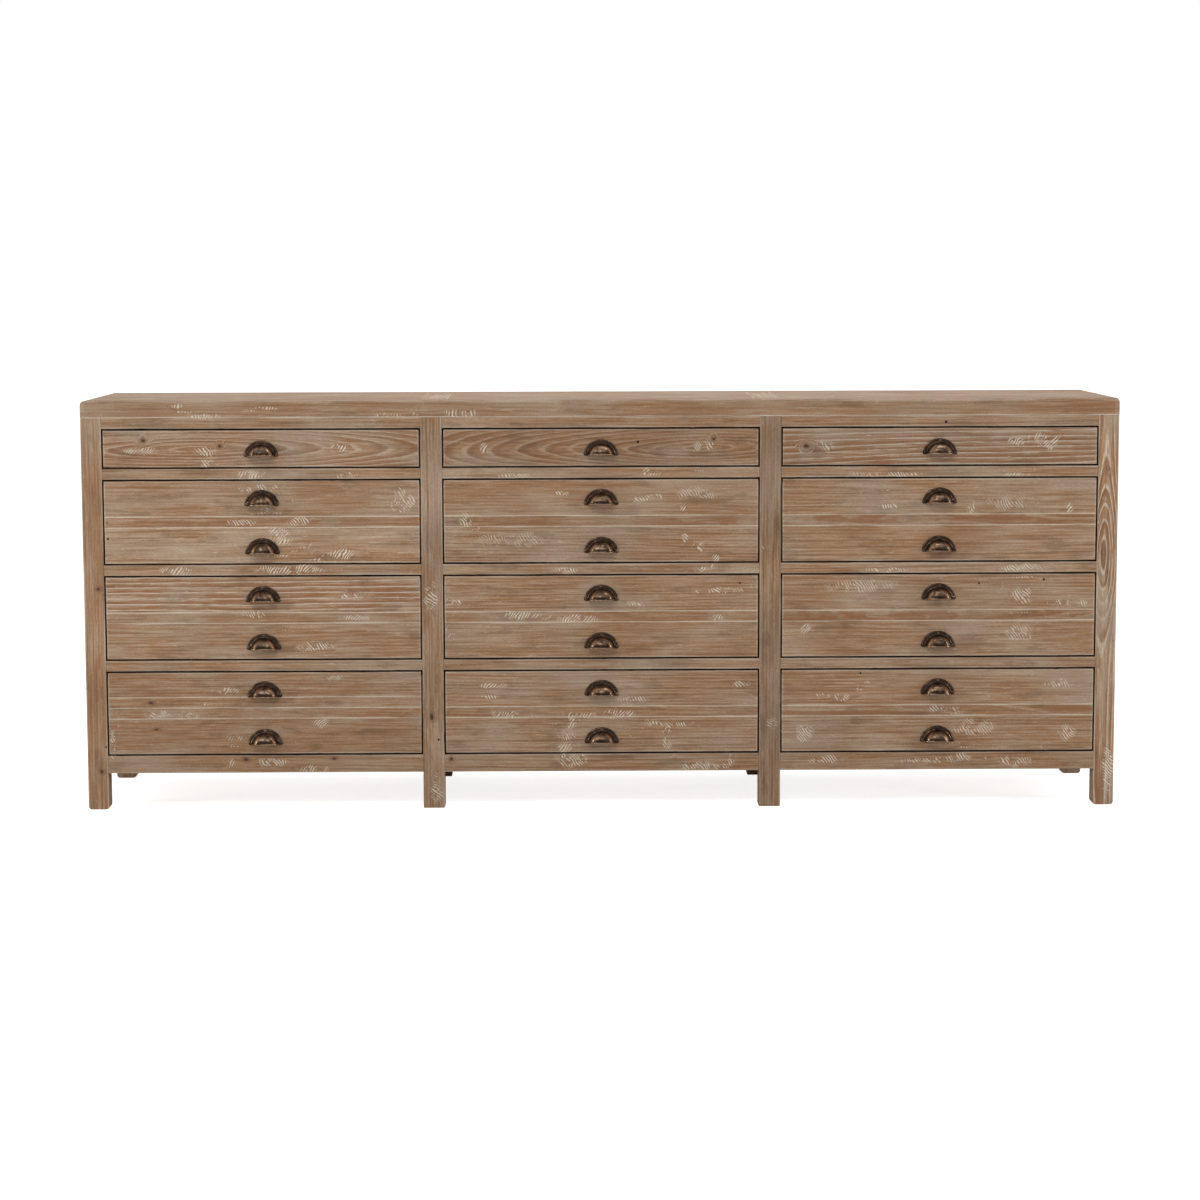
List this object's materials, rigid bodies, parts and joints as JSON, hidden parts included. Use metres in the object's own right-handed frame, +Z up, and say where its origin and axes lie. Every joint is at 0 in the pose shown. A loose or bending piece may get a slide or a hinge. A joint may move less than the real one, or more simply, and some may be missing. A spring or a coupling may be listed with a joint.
{
  "type": "apothecary chest",
  "caption": "Long low apothecary chest in limed pine: three bays of sliding drawers, a slim one over deep ones with planked fronts, half-round cup pulls and a planked top on short post feet.",
  "frame": {"origin": "on the floor, at the middle of the length and of the whole depth with the cup pulls", "axes": "+X along the chest's length to the right as seen from the front, +Y to the back, +Z up; the drawer fronts face -Y"},
  "size_m": [2.3, 0.484, 0.914],
  "materials": {
    "limed_pine": "matte, brushed and limed",
    "inner_pine": "planed, unfinished",
    "back_plywood": "unfinished plywood",
    "antique_bronze": "dark patina, rubbed bright on the edges",
    "screw_steel": "plain"
  },
  "bodies": {
    "cabinet": {"front_post_outer_left": "limed_pine", "front_post_inner_left": "limed_pine", "front_post_inner_right": "limed_pine", "front_post_outer_right": "limed_pine", "rear_posts": "limed_pine", "front_rails_left": "limed_pine", "front_rails_centre": "limed_pine", "front_rails_right": "limed_pine", "rear_rails": "inner_pine", "side_rails": "limed_pine", "side_boards_left": "limed_pine", "side_boards_right": "limed_pine", "partitions": "inner_pine", "back_panels": "back_plywood", "drawer_runners": "inner_pine", "drawer_guides": "inner_pine", "drawer_stops": "inner_pine", "top_edge_front": "limed_pine", "top_edge_rear": "limed_pine", "top_battens": "limed_pine", "top_panel_left": "limed_pine", "top_panel_centre": "limed_pine", "top_panel_right": "limed_pine", "top_screws": "screw_steel"},
    "drawer_left_1": {"drawer_front_left_1": "limed_pine", "drawer_box_left_1": "inner_pine", "cup_pulls_left_1": "antique_bronze"},
    "drawer_left_2": {"drawer_front_left_2": "limed_pine", "drawer_box_left_2": "inner_pine", "cup_pulls_left_2": "antique_bronze"},
    "drawer_left_3": {"drawer_front_left_3": "limed_pine", "drawer_box_left_3": "inner_pine", "cup_pulls_left_3": "antique_bronze"},
    "drawer_left_4": {"drawer_front_left_4": "limed_pine", "drawer_box_left_4": "inner_pine", "cup_pulls_left_4": "antique_bronze"},
    "drawer_centre_1": {"drawer_front_centre_1": "limed_pine", "drawer_box_centre_1": "inner_pine", "cup_pulls_centre_1": "antique_bronze"},
    "drawer_centre_2": {"drawer_front_centre_2": "limed_pine", "drawer_box_centre_2": "inner_pine", "cup_pulls_centre_2": "antique_bronze"},
    "drawer_centre_3": {"drawer_front_centre_3": "limed_pine", "drawer_box_centre_3": "inner_pine", "cup_pulls_centre_3": "antique_bronze"},
    "drawer_centre_4": {"drawer_front_centre_4": "limed_pine", "drawer_box_centre_4": "inner_pine", "cup_pulls_centre_4": "antique_bronze"},
    "drawer_right_1": {"drawer_front_right_1": "limed_pine", "drawer_box_right_1": "inner_pine", "cup_pulls_right_1": "antique_bronze"},
    "drawer_right_2": {"drawer_front_right_2": "limed_pine", "drawer_box_right_2": "inner_pine", "cup_pulls_right_2": "antique_bronze"},
    "drawer_right_3": {"drawer_front_right_3": "limed_pine", "drawer_box_right_3": "inner_pine", "cup_pulls_right_3": "antique_bronze"},
    "drawer_right_4": {"drawer_front_right_4": "limed_pine", "drawer_box_right_4": "inner_pine", "cup_pulls_right_4": "antique_bronze"}
  },
  "joints": [
    {"name": "slide_left_1", "type": "slide", "parent": "cabinet", "child": "drawer_left_1", "axis": [0, -1, 0], "range_m": [0, 0.3197]},
    {"name": "slide_left_2", "type": "slide", "parent": "cabinet", "child": "drawer_left_2", "axis": [0, -1, 0], "range_m": [0, 0.3197]},
    {"name": "slide_left_3", "type": "slide", "parent": "cabinet", "child": "drawer_left_3", "axis": [0, -1, 0], "range_m": [0, 0.3197]},
    {"name": "slide_left_4", "type": "slide", "parent": "cabinet", "child": "drawer_left_4", "axis": [0, -1, 0], "range_m": [0, 0.3197]},
    {"name": "slide_centre_1", "type": "slide", "parent": "cabinet", "child": "drawer_centre_1", "axis": [0, -1, 0], "range_m": [0, 0.3197]},
    {"name": "slide_centre_2", "type": "slide", "parent": "cabinet", "child": "drawer_centre_2", "axis": [0, -1, 0], "range_m": [0, 0.3197]},
    {"name": "slide_centre_3", "type": "slide", "parent": "cabinet", "child": "drawer_centre_3", "axis": [0, -1, 0], "range_m": [0, 0.3197]},
    {"name": "slide_centre_4", "type": "slide", "parent": "cabinet", "child": "drawer_centre_4", "axis": [0, -1, 0], "range_m": [0, 0.3197]},
    {"name": "slide_right_1", "type": "slide", "parent": "cabinet", "child": "drawer_right_1", "axis": [0, -1, 0], "range_m": [0, 0.3197]},
    {"name": "slide_right_2", "type": "slide", "parent": "cabinet", "child": "drawer_right_2", "axis": [0, -1, 0], "range_m": [0, 0.3197]},
    {"name": "slide_right_3", "type": "slide", "parent": "cabinet", "child": "drawer_right_3", "axis": [0, -1, 0], "range_m": [0, 0.3197]},
    {"name": "slide_right_4", "type": "slide", "parent": "cabinet", "child": "drawer_right_4", "axis": [0, -1, 0], "range_m": [0, 0.3197]}
  ]
}
